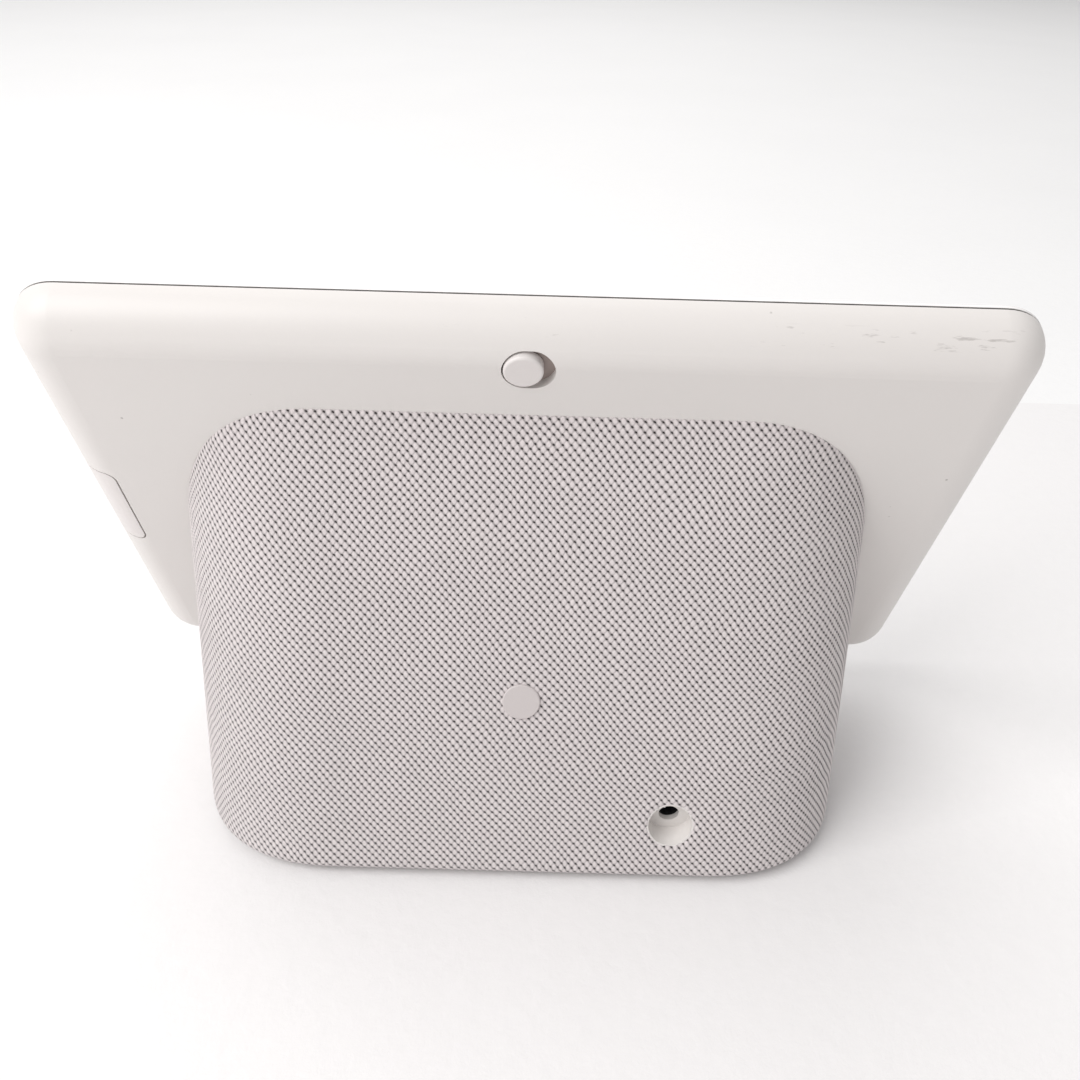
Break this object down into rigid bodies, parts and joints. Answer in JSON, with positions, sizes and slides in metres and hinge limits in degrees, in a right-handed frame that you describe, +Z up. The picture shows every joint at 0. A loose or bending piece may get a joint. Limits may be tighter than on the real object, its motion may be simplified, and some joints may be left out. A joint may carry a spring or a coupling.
{
  "type": "smart display",
  "caption": "Tilted touch screen in a white rounded housing, fixed to a fabric-covered loudspeaker base, with a mute slider, a volume key and a power inlet at the back.",
  "frame": {"origin": "on the floor, in the middle of the bounding box", "axes": "+Z up, +X to the right of somebody facing the screen, +Y to the back, away from that person"},
  "size_m": [0.1784, 0.0672, 0.1175],
  "materials": {
    "cover_plastic": "fine satin",
    "glass_front": "polished cover glass with a light printed border",
    "black_seal": "adhesive foam",
    "screen_cell": "unlit screen",
    "tray_steel": "thin pressed sheet",
    "light_guide": "clear acrylic sheet",
    "cast_frame": "cast, blasted",
    "screw_steel": "zinc plated",
    "key_plastic": "fine satin",
    "taupe_plastic": "matt",
    "board_green": "solder mask",
    "chip_black": "moulded",
    "copper": "copper foil",
    "pad_grey": "soft thermal pad",
    "flex_orange": "polyimide film",
    "grey_fabric": "tight diamond knit",
    "base_plastic": "moulded, matt",
    "badge_plastic": "satin",
    "collar_plastic": "satin",
    "foot_rubber": "matt silicone",
    "black_plastic": "moulded, matt",
    "paper_cone": "pressed pulp",
    "soft_rubber": "smooth",
    "woven_spider": "phenolic cloth",
    "ferrite": "ground ferrite",
    "motor_steel": "zinc plated",
    "lead_black": "smooth jacket",
    "clear_plastic": "clear acrylic",
    "socket_plastic": "moulded"
  },
  "bodies": {
    "housing": {"antenna_left": "flex_orange", "antenna_right": "flex_orange", "backlight_tray": "tray_steel", "base_badge": "badge_plastic", "base_plate": "base_plastic", "base_screws": "screw_steel", "base_shell": "base_plastic", "board_sockets": "socket_plastic", "dc_jack": "black_plastic", "display_cable": "flex_orange", "display_gasket": "black_seal", "fabric_sleeve": "grey_fabric", "foot_pad": "foot_rubber", "front_glass": "glass_front", "heat_spreader": "copper", "jack_pin": "motor_steel", "lcd_panel": "screen_cell", "light_guide": "light_guide", "light_sensor": "chip_black", "main_board": "board_green", "main_board_screws": "screw_steel", "memory_chips": "chip_black", "microphone_gaskets": "soft_rubber", "microphones": "tray_steel", "midframe": "cast_frame", "midframe_screws": "screw_steel", "mute_slot_plate": "taupe_plastic", "mute_switch_body": "black_plastic", "port_collar": "collar_plastic", "power_board": "board_green", "power_cable": "lead_black", "processor": "chip_black", "processor_shield": "tray_steel", "rear_cover": "cover_plastic", "rocker_pin": "motor_steel", "sensor_board": "board_green", "sensor_light_pipe": "clear_plastic", "speaker_cable": "lead_black", "speaker_enclosure": "black_plastic", "speaker_frame": "black_plastic", "speaker_gasket": "black_seal", "speaker_magnet": "ferrite", "speaker_screws": "screw_steel", "speaker_spider": "woven_spider", "speaker_surround": "soft_rubber", "speaker_top_plate": "motor_steel", "speaker_yoke": "motor_steel", "stand_bracket": "tray_steel", "stand_screws": "screw_steel", "thermal_pad": "pad_grey", "volume_board": "board_green", "volume_switches": "chip_black"},
    "mute_slider": {"mute_knob": "key_plastic"},
    "volume_key": {"volume_rocker": "key_plastic"},
    "volume_up": {"volume_up_plunger": "socket_plastic"},
    "volume_down": {"volume_down_plunger": "socket_plastic"},
    "speaker_moving": {"speaker_cone": "paper_cone", "dust_cap": "paper_cone", "voice_coil": "copper"}
  },
  "joints": [
    {"name": "mute_slide", "type": "slide", "parent": "housing", "child": "mute_slider", "axis": [-1, 0, 0], "range_m": [0, 0.0018]},
    {"name": "volume_rock", "type": "hinge", "parent": "housing", "child": "volume_key", "pos_m": [0.0799, -0.00818, 0.06723], "axis": [0, -0.9336, 0.3584], "range_deg": [-0.9, 0.9], "stiffness_Nm_per_rad": 0.05},
    {"name": "volume_up_push", "type": "slide", "parent": "housing", "child": "volume_up", "axis": [-1, 0, 0], "range_m": [-0.00012, 0.00012]},
    {"name": "volume_down_push", "type": "slide", "parent": "housing", "child": "volume_down", "axis": [-1, 0, 0], "range_m": [-0.00012, 0.00012]},
    {"name": "cone_travel", "type": "slide", "parent": "housing", "child": "speaker_moving", "axis": [0, 0.9603, 0.279], "range_m": [-0.0015, 0.0015], "stiffness_N_per_m": 600, "deforming": ["speaker_surround", "speaker_spider"]}
  ],
  "couplings": [
    {"joint": "volume_up_push", "follows": "volume_rock", "m_per_rad": 0.0075},
    {"joint": "volume_down_push", "follows": "volume_rock", "m_per_rad": -0.0075}
  ]
}
